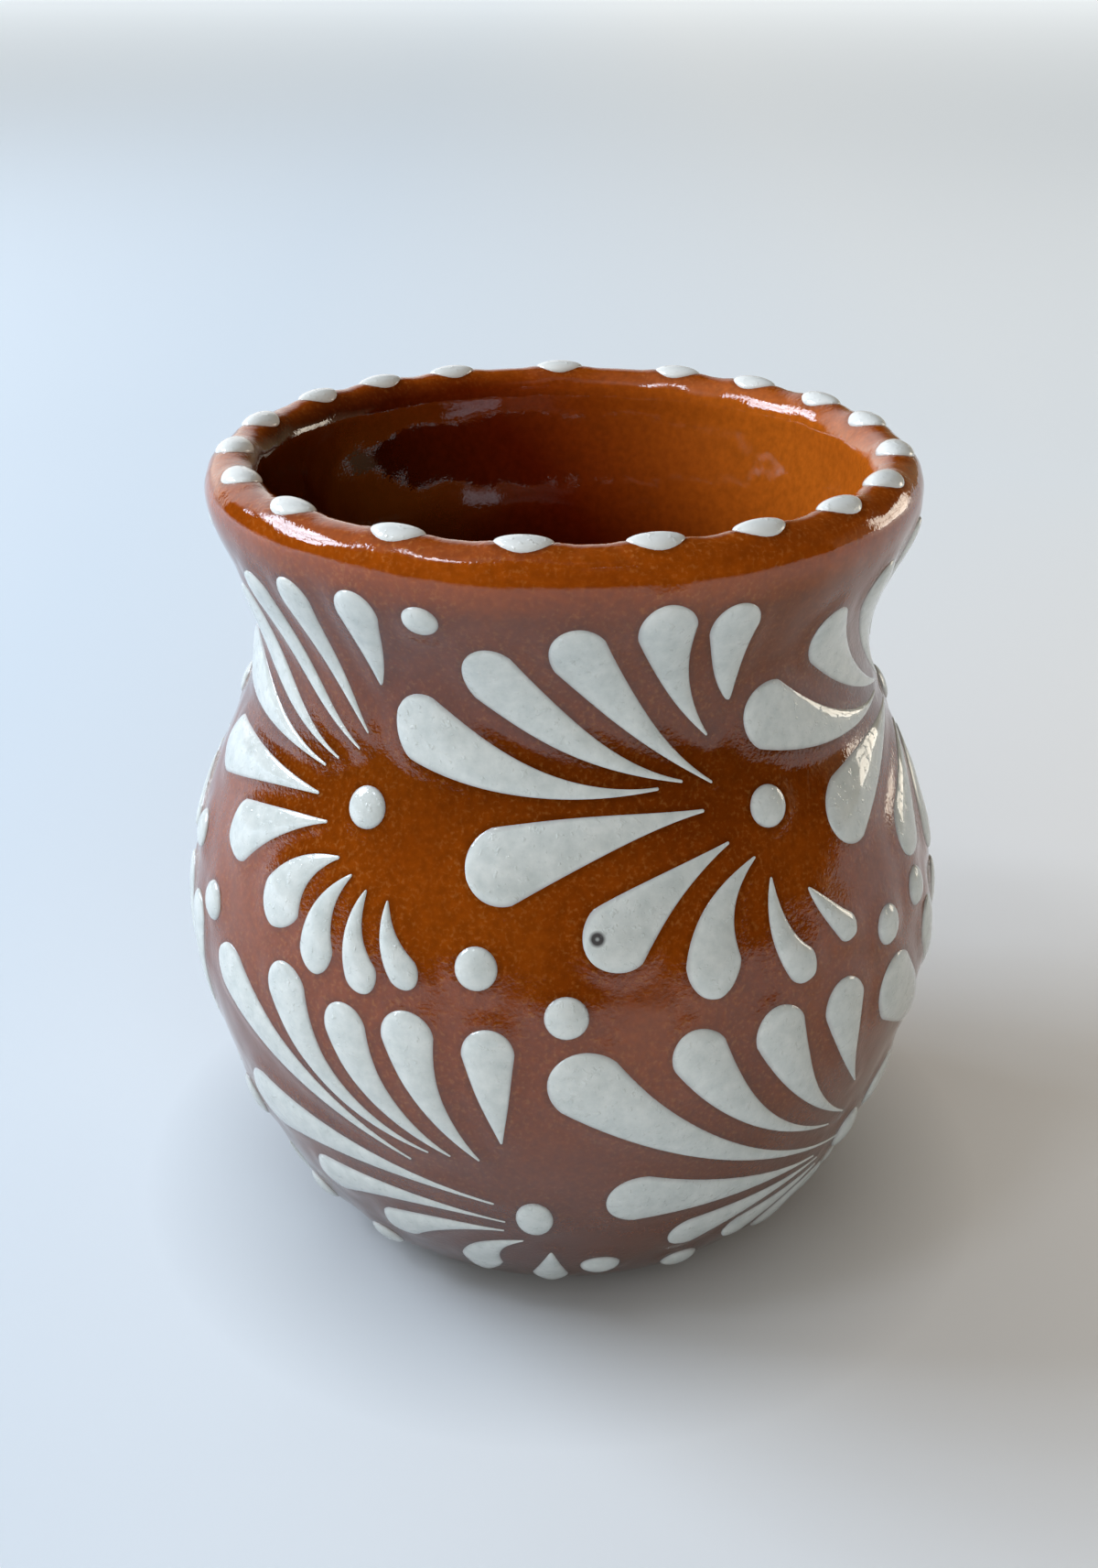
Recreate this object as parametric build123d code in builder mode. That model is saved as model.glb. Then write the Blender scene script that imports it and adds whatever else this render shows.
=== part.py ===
"""A jarrito: a round-bellied mug thrown from red clay, with a pulled strap handle luted to its back
and a pattern of white slip drops and dots, each laid on by hand before the clear glaze."""

import os
from math import ceil, cos, hypot, pi, radians, sin, sqrt

from build123d import *

# Thrown body
HEIGHT = 96.0
FOOT_RADIUS = 26.25
FOOT_SLOPE = 29.0
FOOT_PULL = 16.5
BELLY_RADIUS = 45.2
BELLY_HEIGHT = 39.6
BELLY_PULL_DOWN = 5.0
BELLY_PULL_UP = 18.3
NECK_RADIUS = 35.25
NECK_HEIGHT = 76.7
NECK_PULL_DOWN = 10.3
NECK_PULL_UP = 6.5
RIM_RADIUS = 40.0
RIM_PULL = 4.5
LIP_THICKNESS = 6.4

# Hollow inside
BELLY_WALL = 5.0
NECK_WALL = 5.0
FLOOR_THICKNESS = 6.5
FLOOR_RADIUS = 14.0
FLOOR_PULL = 16.0
INNER_BELLY_PULL = 14.0

# Pulled strap handle at the back
HANDLE_TOP = 83.0
HANDLE_FOOT = 37.0
HANDLE_WIDTH = 15.0
HANDLE_THICKNESS = 8.0
HANDLE_END_WIDTH = 12.0
HANDLE_END_THICKNESS = 7.0
HANDLE_REACH = 29.0
HANDLE_LIFT = 9.0
HANDLE_SWELL = 37.0
HANDLE_FALL = 20.0
HANDLE_ROOT_DEPTH = 2.0
HANDLE_MARGIN = 1.2

# Slip decoration: how far it stands out of the clay, and how deep its underside starts
PETAL_RISE = 0.95
DOT_RISE = 1.05
RIM_DOT_RISE = 0.95
SLIP_BED = 0.5
TIP_SHARE = 0.14
CROWN_FULLNESS = 0.8
STATION_STEP = 3.0

# The pattern is drawn on a flat strip that wraps once round the mug, from the foot to the rim
STRIP_GIRTH = 282.7
STRIP_HEIGHT = 101.0

# Each petal is tip x, tip y, head x, head y, width, bow, taper from its flower's centre
UPPER_CENTRE = 73.2
UPPER_TURNS = (-95.5, -32.0, 33.9, 93.6, 150.5, 207.5)
UPPER_KINDS = ("open", "open", "full", "full", "open", "open")
UPPER_PETALS = {
    "open": (
        (0.8, 13.5, 0.3, 25.6, 6.2, 0.0, 0.8),
        (-1.6, 7.6, -10.1, 24.9, 6.0, 1.9, 1.3),
        (-2.7, 5.7, -20.0, 23.0, 6.0, 2.5, 1.4),
        (-5.9, 4.0, -29.2, 18.4, 6.6, 2.2, 1.5),
        (-7.9, 2.8, -37.0, 9.6, 7.4, 0.7, 1.5),
        (-7.9, -0.3, -35.5, -2.8, 7.0, -0.5, 1.1),
        (-5.4, -2.8, -23.0, -10.4, 7.1, -1.0, 1.3),
        (-2.3, -5.9, -10.4, -16.0, 6.5, -2.2, 1.1),
        (-0.1, -7.2, -2.6, -18.8, 4.8, -2.0, 0.9),
        (2.2, -8.3, 4.2, -18.9, 4.0, -1.7, 0.8),
        (5.1, -8.8, 9.4, -17.1, 3.7, -1.2, 0.8),
    ),
    "full": (
        (-4.6, 12.3, -6.6, 25.0, 6.6, 0.4, 0.7),
        (-7.6, 8.8, -15.3, 25.8, 6.9, 1.6, 1.2),
        (-7.4, 3.8, -26.8, 22.8, 7.4, 1.6, 1.5),
        (-11.4, 4.4, -38.0, 19.2, 7.6, 2.2, 1.5),
        (-14.6, 4.0, -48.6, 11.3, 7.8, 2.3, 1.5),
        (-9.0, 1.1, -37.6, -5.2, 8.6, -1.5, 1.3),
        (-6.4, -2.6, -23.4, -13.2, 7.6, -1.3, 1.3),
        (-3.3, -4.7, -9.8, -18.3, 6.5, -3.0, 1.1),
        (-1.7, -7.2, 2.2, -18.8, 4.2, -1.8, 0.8),
        (3.2, -9.6, 9.2, -16.6, 3.4, -0.3, 0.7),
    ),
}
LOWER_CENTRE = 25.4
LOWER_TURNS = (-64.7, -4.1, 54.7, 107.6, 168.5, 232.0)
LOWER_KINDS = ("open", "open", "full", "full", "open", "open")
LOWER_PETALS = {
    "open": (
        (-3.2, 12.9, -4.7, 27.2, 5.9, 0.0, 1.0),
        (-5.8, 9.8, -13.6, 27.9, 6.1, 1.6, 1.1),
        (-9.1, 9.8, -21.5, 26.8, 5.7, 2.3, 1.1),
        (-11.7, 9.7, -30.3, 28.5, 6.0, 3.6, 1.3),
        (-14.1, 7.8, -42.8, 24.8, 6.9, 0.8, 1.4),
        (-4.7, 2.4, -41.0, 5.9, 8.7, -1.6, 1.8),
        (-3.6, -1.0, -31.0, -2.5, 6.2, -1.9, 1.7),
        (-3.9, -2.9, -21.4, -8.3, 6.0, -1.5, 1.4),
        (-1.6, -4.9, -8.2, -15.2, 6.2, -2.6, 1.1),
        (1.9, -7.7, 1.5, -17.8, 5.4, 0.0, 0.9),
    ),
    "full": (
        (-4.4, 10.6, -9.5, 26.8, 6.4, 1.4, 1.3),
        (-4.5, 5.7, -19.7, 26.8, 6.3, 2.7, 1.5),
        (-7.2, 5.1, -29.8, 26.3, 6.1, 3.4, 1.5),
        (-1.8, -0.2, -43.3, 23.9, 8.7, 3.3, 2.1),
        (-7.0, -0.7, -37.7, 3.8, 8.5, 0.0, 1.6),
        (-5.4, -2.0, -28.5, -7.1, 6.4, -0.9, 1.5),
        (-4.4, -3.9, -18.7, -10.9, 5.6, -0.6, 1.3),
        (-1.4, -5.6, -8.2, -16.0, 5.6, -2.2, 1.1),
        (1.9, -8.6, 1.5, -18.6, 5.0, 0.0, 0.9),
    ),
}

# Dots: width round the mug and height up it
UPPER_DOT_WIDTH = 5.4
UPPER_DOT_HEIGHT = 4.6
LOWER_DOT_WIDTH = 4.6
LOWER_DOT_HEIGHT = 6.5
SMALL_DOT_WIDTH = 4.7
SMALL_DOT_HEIGHT = 4.7
FOOT_DOT_WIDTH = 5.8
FOOT_DOT_HEIGHT = 4.8
NECK_DOT_WIDTH = 4.5
NECK_DOT_HEIGHT = 3.5
WAIST_PLACES = {"open": ((16.0, -14.2), (25.6, -18.9)), "full": ((15.9, -18.4), (24.7, -17.6))}
FOOT_PLACES = ((8.8, -11.7), (21.7, -14.6))
NECK_PLACE = (8.9, 23.3)
RIM_DOT_TURNS = (-179, -157, -141, -125, -105, -87, -68, -48, -26, -6, 14, 31.5, 49.5, 66.5, 86, 106, 122.5,
                 140, 157)
RIM_DOT_WIDTH = 5.9
RIM_DOT_DEPTH = 4.4
RIM_DOT_DRIFT = 0.6

# The body is drawn on an upright plane through its axis, at the back beside the handle
DRAWING_TURN = radians(175)
drawing_plane = Plane(
    origin=(0, 0, 0),
    x_dir=(sin(DRAWING_TURN), -cos(DRAWING_TURN), 0),
    z_dir=(-cos(DRAWING_TURN), -sin(DRAWING_TURN), 0),
)
lip_radius = LIP_THICKNESS / 2
rim_height = HEIGHT - lip_radius
inner_rim = RIM_RADIUS - LIP_THICKNESS
inner_belly = BELLY_RADIUS - BELLY_WALL
inner_neck = NECK_RADIUS - NECK_WALL


def wall_curves():
    """Draw the outer side of the wall, from the foot by the belly and the neck to the rim."""
    foot_lean = radians(FOOT_SLOPE)
    Bezier(
        (FOOT_RADIUS, 0),
        (FOOT_RADIUS + FOOT_PULL * cos(foot_lean), FOOT_PULL * sin(foot_lean)),
        (BELLY_RADIUS, BELLY_HEIGHT - BELLY_PULL_DOWN),
        (BELLY_RADIUS, BELLY_HEIGHT),
    )
    Bezier(
        (BELLY_RADIUS, BELLY_HEIGHT),
        (BELLY_RADIUS, BELLY_HEIGHT + BELLY_PULL_UP),
        (NECK_RADIUS, NECK_HEIGHT - NECK_PULL_DOWN),
        (NECK_RADIUS, NECK_HEIGHT),
    )
    Bezier(
        (NECK_RADIUS, NECK_HEIGHT),
        (NECK_RADIUS, NECK_HEIGHT + NECK_PULL_UP),
        (RIM_RADIUS, rim_height - RIM_PULL),
        (RIM_RADIUS, rim_height),
    )


with BuildLine(Plane.XZ) as wall_line:
    wall_curves()
wall = wall_line.wire()
wall_length = wall.length

# Whole shape before hollowing, which the slip and the handle are bedded against
with BuildPart() as solid_form:
    with BuildSketch(drawing_plane):
        with BuildLine():
            wall_curves()
            ThreePointArc((RIM_RADIUS, rim_height), (RIM_RADIUS - lip_radius, HEIGHT), (inner_rim, rim_height))
            Polyline((inner_rim, rim_height), (0, rim_height), (0, 0), (FOOT_RADIUS, 0))
        make_face()
    revolve(axis=Axis.Z)

# Clay body: the same form, hollow and open at the top
with BuildPart() as clay_body:
    add(solid_form.part)
    with BuildSketch(drawing_plane):
        with BuildLine():
            Line((0, FLOOR_THICKNESS), (FLOOR_RADIUS, FLOOR_THICKNESS))
            Bezier(
                (FLOOR_RADIUS, FLOOR_THICKNESS),
                (FLOOR_RADIUS + FLOOR_PULL, FLOOR_THICKNESS),
                (inner_belly, BELLY_HEIGHT - INNER_BELLY_PULL),
                (inner_belly, BELLY_HEIGHT),
            )
            Bezier(
                (inner_belly, BELLY_HEIGHT),
                (inner_belly, BELLY_HEIGHT + BELLY_PULL_UP),
                (inner_neck, NECK_HEIGHT - NECK_PULL_DOWN),
                (inner_neck, NECK_HEIGHT),
            )
            Bezier(
                (inner_neck, NECK_HEIGHT),
                (inner_neck, NECK_HEIGHT + NECK_PULL_UP),
                (inner_rim, rim_height - RIM_PULL),
                (inner_rim, rim_height),
            )
            Polyline((inner_rim, rim_height), (0, rim_height), (0, FLOOR_THICKNESS))
        make_face()
    revolve(axis=Axis.Z, mode=Mode.SUBTRACT)


def skin_at(turn, length):
    """Point on the outer skin and its outward normal, at an angle from the front and a length from the foot."""
    beyond = length - wall_length
    if beyond <= 0:
        place = wall.position_at(length, position_mode=PositionMode.LENGTH)
        along = wall.tangent_at(length, position_mode=PositionMode.LENGTH)
        radius, height, out, up = place.X, place.Z, along.Z, -along.X
    else:
        lean = beyond / lip_radius
        out, up = cos(lean), sin(lean)
        radius = RIM_RADIUS - lip_radius + lip_radius * out
        height = rim_height + lip_radius * up
    point = Vector(radius * sin(turn), -radius * cos(turn), height)
    return point, Vector(out * sin(turn), -out * cos(turn), up)


def on_strip(x, y):
    """Point and normal where the pattern strip's x and y come to lie on the mug."""
    return skin_at(2 * pi * x / STRIP_GIRTH, y * wall_length / STRIP_HEIGHT)


def slip_section(left, middle, right, rise):
    """Plane and crown points of the arched section of a drop whose edges are two points of the skin."""
    centre = (left[0] + right[0]) * 0.5
    chord = right[0] - left[0]
    across = chord.normalized()
    plane = Plane(origin=centre, x_dir=across, z_dir=across.cross(middle[1]))
    half = chord.length / 2
    skin = (middle[0] - centre).dot(plane.y_dir)
    bed = min(SLIP_BED, 0.8 * half) - min(skin, 0)
    top = (skin + min(rise, 0.9 * half) + bed / 4) * 4 / 3
    dip = bed / (3 * (bed + top))
    reach = half / sqrt(1 - 4 * dip) / (1 + (3 * CROWN_FULLNESS - 1) * dip)
    shoulder = CROWN_FULLNESS * reach
    return plane, ((-reach, -bed), (-shoulder, top), (shoulder, top), (reach, -bed))


def slip_drop(sections):
    """One drop of slip through its arched sections, with its underside fitted to the clay."""
    with BuildPart() as drop:
        for plane, crown in sections:
            with BuildSketch(plane):
                with BuildLine():
                    Bezier(*crown)
                    Line(crown[3], crown[0])
                make_face()
        loft(clean=False)
        add(solid_form.part, mode=Mode.SUBTRACT, clean=False)
    return drop.part


def spine(petal, share):
    """Place and sideways direction on a petal's bowed centre line, in strip measure from its flower's centre."""
    tip_x, tip_y, head_x, head_y, _, bow, _ = petal
    run_x, run_y = head_x - tip_x, head_y - tip_y
    length = hypot(run_x, run_y)
    push = 4 * bow * share * (1 - share) / length
    x = tip_x + run_x * share - run_y * push
    y = tip_y + run_y * share + run_x * push
    swing = 4 * bow * (1 - 2 * share) / length
    ahead_x, ahead_y = run_x - run_y * swing, run_y + run_x * swing
    size = hypot(ahead_x, ahead_y)
    return x, y, -ahead_y / size, ahead_x / size


def petal_stations(petal):
    """Shares along a petal's centre line with its share of the full width there."""
    length = hypot(petal[2] - petal[0], petal[3] - petal[1])
    head = 1 - petal[4] / 2 / length
    stations = []
    steps = max(6, ceil(length / STATION_STEP))
    for step in range(steps + 1):
        part_way = step / steps
        stations.append((head * part_way, TIP_SHARE + (1 - TIP_SHARE) * part_way ** petal[6]))
    for lean in (38, 62, 80):
        stations.append((head + (1 - head) * sin(radians(lean)), cos(radians(lean))))
    return stations


def petal_drop(petal, centre):
    """A comma-shaped petal at the front of the mug, its flower's centre at this height on the strip."""
    sections = []
    for share, breadth in petal_stations(petal):
        x, y, side_x, side_y = spine(petal, share)
        half = petal[4] / 2 * breadth
        left = on_strip(x + side_x * half, centre + y + side_y * half)
        right = on_strip(x - side_x * half, centre + y - side_y * half)
        sections.append(slip_section(left, on_strip(x, centre + y), right, PETAL_RISE * sqrt(breadth)))
    return slip_drop(sections)


def dot_drop(length_up, width, height, rise):
    """A round or oval dot at the front of the mug, its middle at this real length up the skin."""
    sections = []
    ring = skin_at(0, length_up)[0].Y
    for lean in (-78, -50, -20, 20, 50, 78):
        turn = width / 2 * sin(radians(lean)) / -ring
        half = height / 2 * cos(radians(lean))
        low = skin_at(turn, length_up - half)
        high = skin_at(turn, length_up + half)
        sections.append(slip_section(low, skin_at(turn, length_up), high, rise * sqrt(cos(radians(lean)))))
    return slip_drop(sections)


def behind_handle(x, y, half):
    """Whether slip of this half width would lie under a root of the handle or behind its strap."""
    point = on_strip(x, y)[0]
    room = half + HANDLE_MARGIN
    beside = point.Y > 0 and abs(point.X) < HANDLE_WIDTH / 2 + room
    root = HANDLE_THICKNESS / 2 + HANDLE_ROOT_DEPTH + room
    return beside and HANDLE_FOOT - root < point.Z < HANDLE_TOP + root


def petal_fits(petal, centre, turn):
    """Whether all of a petal of the flower at this angle is clear of the handle."""
    for share, breadth in petal_stations(petal):
        x, y, _, _ = spine(petal, share)
        if behind_handle(x + turn / 360 * STRIP_GIRTH, centre + y, petal[4] / 2 * breadth):
            return False
    return True


# Handle: an oval strap along one bowed line, its ends fitted to the neck and the belly
def wall_radius(height):
    """Outer radius of the body at a height."""
    low, high = 0.0, wall_length
    for _ in range(40):
        middle = (low + high) / 2
        if skin_at(0, middle)[0].Z < height:
            low = middle
        else:
            high = middle
    return -skin_at(0, low)[0].Y


top_root = wall_radius(HANDLE_TOP) - HANDLE_ROOT_DEPTH
foot_root = wall_radius(HANDLE_FOOT) - HANDLE_ROOT_DEPTH
with BuildLine(Plane.YZ) as handle_line:
    Bezier(
        (top_root, HANDLE_TOP),
        (top_root + HANDLE_REACH, HANDLE_TOP + HANDLE_LIFT),
        (foot_root + HANDLE_SWELL, HANDLE_FOOT + HANDLE_FALL),
        (foot_root, HANDLE_FOOT),
    )
handle_path = handle_line.wire()
with BuildPart() as handle:
    for share in (0, 0.12, 0.3, 0.5, 0.7, 0.88, 1):
        with BuildSketch(Plane(handle_path @ share, x_dir=(1, 0, 0), z_dir=handle_path % share)):
            Ellipse(
                (HANDLE_WIDTH + (HANDLE_END_WIDTH - HANDLE_WIDTH) * share) / 2,
                (HANDLE_THICKNESS + (HANDLE_END_THICKNESS - HANDLE_THICKNESS) * share) / 2,
            )
    loft()
    add(solid_form.part, mode=Mode.SUBTRACT)


os.makedirs("parts", exist_ok=True)
clay_body.part.label = "clay_body"
export_step(clay_body.part, "parts/clay_body.step")
handle.part.label = "handle"
export_step(handle.part, "parts/handle.step")


def write_drops(name, drops):
    """Write a group of separate drops or dots as one piece."""
    group = Compound([solid for drop in drops for solid in drop.solids()], label=name)
    export_step(group, f"parts/{name}.step")


# Flowers: the two ways each is drawn are made once and turned to their places
bands = (
    ("upper", UPPER_CENTRE, UPPER_TURNS, UPPER_KINDS, UPPER_PETALS),
    ("lower", LOWER_CENTRE, LOWER_TURNS, LOWER_KINDS, LOWER_PETALS),
)
for band, centre, turns, kinds, drawings in bands:
    made = {kind: [petal_drop(petal, centre) for petal in drawings[kind]] for kind in drawings}
    for place, (turn, kind) in enumerate(zip(turns, kinds), start=1):
        petals = []
        for petal, drop in zip(drawings[kind], made[kind]):
            if petal_fits(petal, centre, turn):
                petals.append(drop.rotate(Axis.Z, turn))
        write_drops(f"{band}_flower_{place}", petals)


def ring_of_dots(strip_y, width, height, turns):
    """Equal dots at one height on the strip, measured on the strip and turned to their places."""
    length_up = strip_y * wall_length / STRIP_HEIGHT
    real_width = width * 2 * pi * -skin_at(0, length_up)[0].Y / STRIP_GIRTH
    dot = dot_drop(length_up, real_width, height, DOT_RISE)
    clear = [turn for turn in turns if not behind_handle(turn / 360 * STRIP_GIRTH, strip_y, width / 2)]
    return [dot.rotate(Axis.Z, turn) for turn in clear]


def turned(turns, x):
    """Angles of the places this far along the strip from each flower."""
    return [turn + x / STRIP_GIRTH * 360 for turn in turns]


def of_kind(kind):
    """Angles of the upper flowers drawn this way."""
    return [turn for turn, drawn in zip(UPPER_TURNS, UPPER_KINDS) if drawn == kind]


# Dots: flower centres, pairs at the waist and the foot, fillers under the lip and the row on the lip
write_drops("upper_centres", ring_of_dots(UPPER_CENTRE, UPPER_DOT_WIDTH, UPPER_DOT_HEIGHT, UPPER_TURNS))
write_drops("lower_centres", ring_of_dots(LOWER_CENTRE, LOWER_DOT_WIDTH, LOWER_DOT_HEIGHT, LOWER_TURNS))

waist_dots = []
for kind, places in WAIST_PLACES.items():
    for x, y in places:
        waist_dots += ring_of_dots(UPPER_CENTRE + y, SMALL_DOT_WIDTH, SMALL_DOT_HEIGHT, turned(of_kind(kind), x))
write_drops("waist_dots", waist_dots)

foot_dots = []
for x, y in FOOT_PLACES:
    foot_dots += ring_of_dots(LOWER_CENTRE + y, FOOT_DOT_WIDTH, FOOT_DOT_HEIGHT, turned(LOWER_TURNS, x))
write_drops("foot_dots", foot_dots)

neck_turns = turned(of_kind("open"), NECK_PLACE[0])
neck_dots = ring_of_dots(UPPER_CENTRE + NECK_PLACE[1], NECK_DOT_WIDTH, NECK_DOT_HEIGHT, neck_turns)
write_drops("neck_dots", neck_dots)

lip_top = wall_length + lip_radius * pi / 2
rim_dots = []
for turn in RIM_DOT_TURNS:
    inset = RIM_DOT_DRIFT * cos(radians(turn))
    rim_dot = dot_drop(lip_top + inset, RIM_DOT_WIDTH, RIM_DOT_DEPTH, RIM_DOT_RISE)
    rim_dots.append(rim_dot.rotate(Axis.Z, turn))
write_drops("rim_dots", rim_dots)
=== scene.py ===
from bisect import bisect
from math import acos, atan2, cos, hypot, pi, radians, sin, sqrt

import bmesh
import bpy
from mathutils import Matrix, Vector
from mathutils.bvhtree import BVHTree
from mathutils.geometry import interpolate_bezier


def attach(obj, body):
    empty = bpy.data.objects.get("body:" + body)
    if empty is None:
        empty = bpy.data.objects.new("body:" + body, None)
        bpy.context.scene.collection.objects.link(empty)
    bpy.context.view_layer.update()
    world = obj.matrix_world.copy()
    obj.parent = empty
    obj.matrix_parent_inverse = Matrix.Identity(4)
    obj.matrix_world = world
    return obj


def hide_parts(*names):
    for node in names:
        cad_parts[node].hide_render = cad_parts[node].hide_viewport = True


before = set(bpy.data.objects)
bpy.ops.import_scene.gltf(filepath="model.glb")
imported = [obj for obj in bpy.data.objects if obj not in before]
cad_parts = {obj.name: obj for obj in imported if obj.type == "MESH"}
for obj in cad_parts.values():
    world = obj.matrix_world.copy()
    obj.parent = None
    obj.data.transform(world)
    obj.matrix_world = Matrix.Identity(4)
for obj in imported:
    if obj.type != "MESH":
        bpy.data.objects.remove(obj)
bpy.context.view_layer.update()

# Clay body: one round-bellied pot thrown from red clay, pinched in at the neck under a thick rolled lip.
# It is hollow with a flat foot, and its skin wavers by a tenth of a millimetre as hand-thrown clay does.
# A pull is how far a curve of the wall runs on before it turns.
MM = 0.001
HEIGHT = 96.0
FOOT_RADIUS = 26.25
BELLY_RADIUS = 45.2
BELLY_HEIGHT = 39.6
NECK_RADIUS = 35.25
NECK_HEIGHT = 76.7
RIM_RADIUS = 40.0
LIP_RADIUS = 3.2
RIM_HEIGHT = HEIGHT - LIP_RADIUS
WALL_THICKNESS = 5.0
FLOOR_THICKNESS = 6.5
FLOOR_RADIUS = 14.0
FOOT_LEAN = radians(29)
FOOT_PULL = 16.5
BELLY_PULL_DOWN = 5.0
BELLY_PULL_UP = 18.3
NECK_PULL_DOWN = 10.3
NECK_PULL_UP = 6.5
RIM_PULL = 4.5
INNER_BELLY_PULL = 14.0
FLOOR_PULL = 16.0
FOOT_RINGS = (0, 8, 16, 22)
FLOOR_RINGS = (7, 0)
OUTSIDE_STEPS = (62, 52, 26)
LIP_STEPS = 16
INSIDE_STEPS = (16, 20, 22)
ROUND_STEPS = 384
MERGE_DISTANCE = 0.001
AXIS_REACH = 0.01


def curve(start, pull_start, pull_end, end, steps):
    """Points of one stretch of the wall, as radius and height in millimetres."""
    ends = [Vector((*place, 0)) for place in (start, pull_start, pull_end, end)]
    return [point.xy for point in interpolate_bezier(*ends, steps)]


inner_belly = BELLY_RADIUS - WALL_THICKNESS
inner_neck = NECK_RADIUS - WALL_THICKNESS
inner_rim = RIM_RADIUS - 2 * LIP_RADIUS
foot_to_belly = curve(
    (FOOT_RADIUS, 0),
    (FOOT_RADIUS + FOOT_PULL * cos(FOOT_LEAN), FOOT_PULL * sin(FOOT_LEAN)),
    (BELLY_RADIUS, BELLY_HEIGHT - BELLY_PULL_DOWN),
    (BELLY_RADIUS, BELLY_HEIGHT),
    OUTSIDE_STEPS[0],
)
belly_to_neck = curve(
    (BELLY_RADIUS, BELLY_HEIGHT),
    (BELLY_RADIUS, BELLY_HEIGHT + BELLY_PULL_UP),
    (NECK_RADIUS, NECK_HEIGHT - NECK_PULL_DOWN),
    (NECK_RADIUS, NECK_HEIGHT),
    OUTSIDE_STEPS[1],
)
neck_to_rim = curve(
    (NECK_RADIUS, NECK_HEIGHT),
    (NECK_RADIUS, NECK_HEIGHT + NECK_PULL_UP),
    (RIM_RADIUS, RIM_HEIGHT - RIM_PULL),
    (RIM_RADIUS, RIM_HEIGHT),
    OUTSIDE_STEPS[2],
)
lip_centre = Vector((RIM_RADIUS - LIP_RADIUS, RIM_HEIGHT))
lip_over = []
for step in range(LIP_STEPS + 1):
    lean = pi * step / LIP_STEPS
    lip_over.append(lip_centre + LIP_RADIUS * Vector((cos(lean), sin(lean))))
rim_to_neck_inside = curve(
    (inner_rim, RIM_HEIGHT),
    (inner_rim, RIM_HEIGHT - RIM_PULL),
    (inner_neck, NECK_HEIGHT + NECK_PULL_UP),
    (inner_neck, NECK_HEIGHT),
    INSIDE_STEPS[0],
)
neck_to_belly_inside = curve(
    (inner_neck, NECK_HEIGHT),
    (inner_neck, NECK_HEIGHT - NECK_PULL_DOWN),
    (inner_belly, BELLY_HEIGHT + BELLY_PULL_UP),
    (inner_belly, BELLY_HEIGHT),
    INSIDE_STEPS[1],
)
belly_to_floor_inside = curve(
    (inner_belly, BELLY_HEIGHT),
    (inner_belly, BELLY_HEIGHT - INNER_BELLY_PULL),
    (FLOOR_RADIUS + FLOOR_PULL, FLOOR_THICKNESS),
    (FLOOR_RADIUS, FLOOR_THICKNESS),
    INSIDE_STEPS[2],
)
outside = foot_to_belly + belly_to_neck[1:] + neck_to_rim[1:] + lip_over[1:]
inside = rim_to_neck_inside[1:] + neck_to_belly_inside[1:] + belly_to_floor_inside[1:]
foot = [Vector((radius, 0)) for radius in FOOT_RINGS]
floor_inside = [Vector((radius, FLOOR_THICKNESS)) for radius in FLOOR_RINGS]

# Each wave of the skin has a size, a number round the mug, a start, and a height over which it turns.
WAVES = ((0.09, 2, 0.7, 40), (0.06, 3, 2.1, -25), (0.03, 7, 0.0, 9))
TRUE_FOOT = 12.0


def waver(turn, height):
    """How far the hand-thrown skin stands out from a true circle, in millimetres."""
    out = sum(size * sin(count * turn + start + height / climb) for size, count, start, climb in WAVES)
    return out * min(height / TRUE_FOOT, 1)


clay = bmesh.new()
section = foot + outside + inside + floor_inside
outline = [clay.verts.new((place.x * MM, 0, place.y * MM)) for place in section]
for lower, upper in zip(outline, outline[1:]):
    clay.edges.new((lower, upper))
bmesh.ops.spin(
    clay,
    geom=clay.verts[:] + clay.edges[:],
    cent=(0, 0, 0),
    axis=(0, 0, 1),
    angle=2 * pi,
    steps=ROUND_STEPS,
    use_merge=True,
)
bmesh.ops.remove_doubles(clay, verts=clay.verts[:], dist=MERGE_DISTANCE * MM)
bmesh.ops.recalc_face_normals(clay, faces=clay.faces[:])
for vert in clay.verts:
    if vert.co.xy.length > AXIS_REACH * MM:
        out = waver(atan2(vert.co.x, -vert.co.y), vert.co.z / MM) * MM
        vert.co.xy *= 1 + out / vert.co.xy.length


def placed_object(shape, name):
    """Turn a bmesh into an object of the scene."""
    mesh = bpy.data.meshes.new(name)
    shape.to_mesh(mesh)
    shape.free()
    thing = bpy.data.objects.new(name, mesh)
    bpy.context.scene.collection.objects.link(thing)
    return thing


def finished_piece(shape, name, slot, *nodes):
    """Turn a bmesh into a smooth piece that stands for its solids."""
    for face in shape.faces:
        face.smooth = True
    piece = placed_object(shape, name)
    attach(piece, "root")
    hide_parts(*nodes)
    return piece


body = finished_piece(clay, "thrown_body", "glazed_clay", "clay_body")

# Handle: a strap of the same clay, pulled by hand to an oval that tapers downwards.
# Its ends were pressed on to the neck and the belly with wet clay and smeared out into the wall.
HANDLE_TOP = 83.0
HANDLE_FOOT = 37.0
HANDLE_WIDTH = 15.0
HANDLE_END_WIDTH = 12.0
HANDLE_THICKNESS = 8.0
HANDLE_END_THICKNESS = 7.0
HANDLE_ROOT_DEPTH = 2.0
HANDLE_TOP_PULL = (29, 9)
HANDLE_FOOT_PULL = (37, 20)
SMEAR = 0.28
SMEAR_SHARE = 0.09
HANDLE_STEPS = 40
HANDLE_SIDES = 40

lengths = [0.0]
for lower, upper in zip(outside, outside[1:]):
    lengths.append(lengths[-1] + (upper - lower).length)
WALL_LENGTH = lengths[len(outside) - len(lip_over)]


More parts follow.
